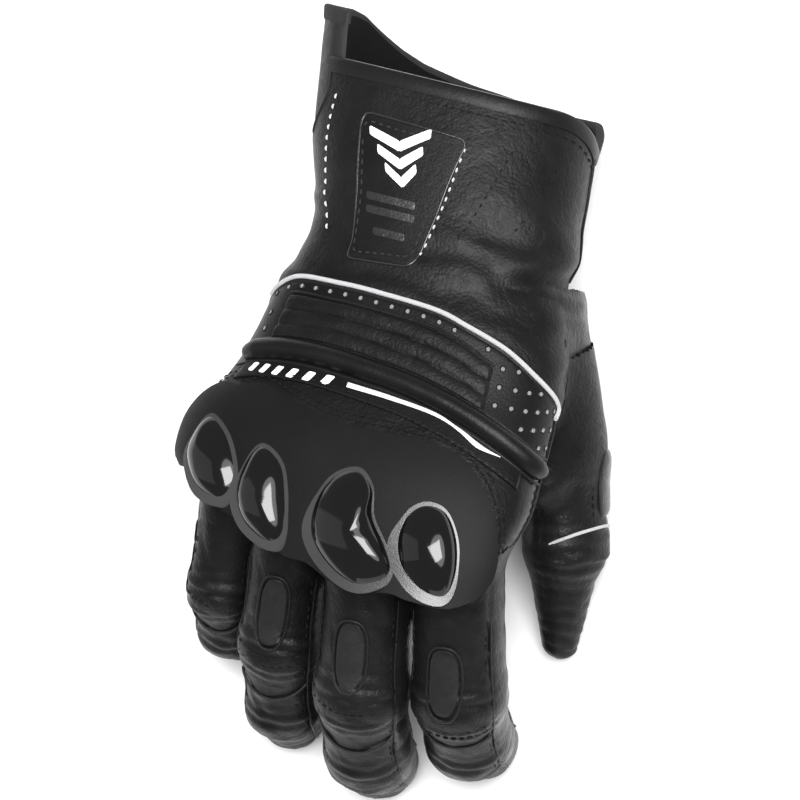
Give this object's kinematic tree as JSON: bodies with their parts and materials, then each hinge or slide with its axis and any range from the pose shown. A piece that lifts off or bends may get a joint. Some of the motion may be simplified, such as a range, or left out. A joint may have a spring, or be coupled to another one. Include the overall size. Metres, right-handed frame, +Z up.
{
  "type": "riding glove",
  "caption": "Short-cuff leather riding glove for the right hand with a hard knuckle guard, jointed finger stalls, a jointed thumb and a wrist strap.",
  "frame": {"origin": "centre of the footprint, on the surface that the fingertips, the thumb and the cuff hem rest on", "axes": "+Z is up through the back of the hand, -Y points at the fingers, +Y at the cuff, +X is the thumb side"},
  "size_m": [0.1189, 0.2182, 0.0989],
  "materials": {
    "black_leather": "fine pebble grain, semi-matte",
    "palm_leather": "smooth, slightly worn",
    "lining": "soft knit",
    "guard_shell": "satin leather-wrapped hard shell",
    "gloss_insert": "high gloss",
    "rim": "soft satin",
    "foam": "closed cell foam",
    "piping": "reflective",
    "hem_grey": "woven tape",
    "white_print": "printed",
    "stretch": "ribbed stretch",
    "hook_loop": "hook and loop"
  },
  "bodies": {
    "hand": {"back_hand_panel": "black_leather", "palm_panel": "palm_leather", "thumb_side_wall": "black_leather", "outer_side_wall": "black_leather", "hand_lining_back": "lining", "hand_lining_palm": "lining", "cuff_back_panel": "black_leather", "cuff_palm_panel": "black_leather", "cuff_lining": "lining", "cuff_binding": "black_leather", "cuff_palm_hem": "hem_grey", "emblem_patch": "black_leather", "emblem": "white_print", "reflective_piping": "piping", "perforated_panel": "black_leather", "quilted_panel": "stretch", "knuckle_band": "black_leather", "band_stripe": "white_print", "knuckle_foam": "foam", "knuckle_guard": "guard_shell", "index_insert": "gloss_insert", "middle_insert": "gloss_insert", "ring_insert": "gloss_insert", "little_insert": "gloss_insert", "insert_rims": "rim", "palm_reinforcement": "palm_leather", "palm_heel_pad": "palm_leather", "strap_loop_patch": "hook_loop", "strap_anchor": "black_leather", "wrist_elastic": "stretch", "thumb_gusset": "black_leather"},
    "strap": {"wrist_strap": "black_leather", "strap_hook_patch": "hook_loop", "strap_end_tab": "black_leather"},
    "thumb_base": {"thumb_base_stall": "black_leather", "thumb_pad": "black_leather", "thumb_piping": "piping"},
    "thumb_tip": {"thumb_tip_stall": "black_leather"},
    "index_base": {"index_base_stall": "black_leather", "index_pad": "black_leather"},
    "index_middle": {"index_middle_stall": "black_leather"},
    "index_tip": {"index_tip_stall": "black_leather"},
    "middle_base": {"middle_base_stall": "black_leather", "middle_pad": "black_leather"},
    "middle_middle": {"middle_middle_stall": "black_leather"},
    "middle_tip": {"middle_tip_stall": "black_leather"},
    "ring_base": {"ring_base_stall": "black_leather", "ring_pad": "black_leather"},
    "ring_middle": {"ring_middle_stall": "black_leather"},
    "ring_tip": {"ring_tip_stall": "black_leather"},
    "little_base": {"little_base_stall": "black_leather"},
    "little_middle": {"little_middle_stall": "black_leather"},
    "little_tip": {"little_tip_stall": "black_leather"}
  },
  "joints": [
    {"name": "index_knuckle", "type": "hinge", "parent": "hand", "child": "index_base", "pos_m": [0.03125, -0.0344, 0.06859], "axis": [1, 0, 0], "range_deg": [-20, 20]},
    {"name": "index_bend", "type": "hinge", "parent": "index_base", "child": "index_middle", "pos_m": [0.03585, -0.07236, 0.0484], "axis": [1, 0, 0], "range_deg": [-20, 25]},
    {"name": "index_tip_bend", "type": "hinge", "parent": "index_middle", "child": "index_tip", "pos_m": [0.03585, -0.08457, 0.02544], "axis": [1, 0, 0], "range_deg": [-14, 18]},
    {"name": "middle_knuckle", "type": "hinge", "parent": "hand", "child": "middle_base", "pos_m": [0.00515, -0.0344, 0.06994], "axis": [1, 0, 0], "range_deg": [-20, 45]},
    {"name": "middle_bend", "type": "hinge", "parent": "middle_base", "child": "middle_middle", "pos_m": [0.00815, -0.07825, 0.05042], "axis": [1, 0, 0], "range_deg": [-20, 45]},
    {"name": "middle_tip_bend", "type": "hinge", "parent": "middle_middle", "child": "middle_tip", "pos_m": [0.00815, -0.09488, 0.02666], "axis": [1, 0, 0], "range_deg": [-14, 31]},
    {"name": "ring_knuckle", "type": "hinge", "parent": "hand", "child": "ring_base", "pos_m": [-0.02025, -0.0304, 0.06239], "axis": [1, 0, 0], "range_deg": [-20, 45]},
    {"name": "ring_bend", "type": "hinge", "parent": "ring_base", "child": "ring_middle", "pos_m": [-0.02025, -0.07059, 0.04449], "axis": [1, 0, 0], "range_deg": [-20, 45]},
    {"name": "ring_tip_bend", "type": "hinge", "parent": "ring_middle", "child": "ring_tip", "pos_m": [-0.02025, -0.08795, 0.02381], "axis": [1, 0, 0], "range_deg": [-14, 31]},
    {"name": "little_knuckle", "type": "hinge", "parent": "hand", "child": "little_base", "pos_m": [-0.04215, -0.0264, 0.0552], "axis": [1, 0, 0], "range_deg": [-20, 45]},
    {"name": "little_bend", "type": "hinge", "parent": "little_base", "child": "little_middle", "pos_m": [-0.04215, -0.05993, 0.03956], "axis": [1, 0, 0], "range_deg": [-20, 45]},
    {"name": "little_tip_bend", "type": "hinge", "parent": "little_middle", "child": "little_tip", "pos_m": [-0.04215, -0.07043, 0.02137], "axis": [1, 0, 0], "range_deg": [-14, 31]},
    {"name": "thumb_swing", "type": "hinge", "parent": "hand", "child": "thumb_base", "pos_m": [0.04328, 0.00049, 0.02846], "axis": [0.1203, 0.3409, 0.9324], "range_deg": [-25, 25]},
    {"name": "thumb_bend", "type": "hinge", "parent": "thumb_base", "child": "thumb_tip", "pos_m": [0.04815, -0.02457, 0.01967], "axis": [0.1203, 0.3409, 0.9324], "range_deg": [-35, 12]},
    {"name": "strap_peel", "type": "hinge", "parent": "hand", "child": "strap", "pos_m": [-0.0303, 0.0496, 0.02406], "axis": [-0.1676, 0.9184, -0.3585], "range_deg": [0, 75]}
  ],
  "couplings": [
    {"joint": "index_tip_bend", "follows": "index_bend", "ratio": 0.67},
    {"joint": "middle_tip_bend", "follows": "middle_bend", "ratio": 0.67},
    {"joint": "ring_tip_bend", "follows": "ring_bend", "ratio": 0.67},
    {"joint": "little_tip_bend", "follows": "little_bend", "ratio": 0.67}
  ]
}
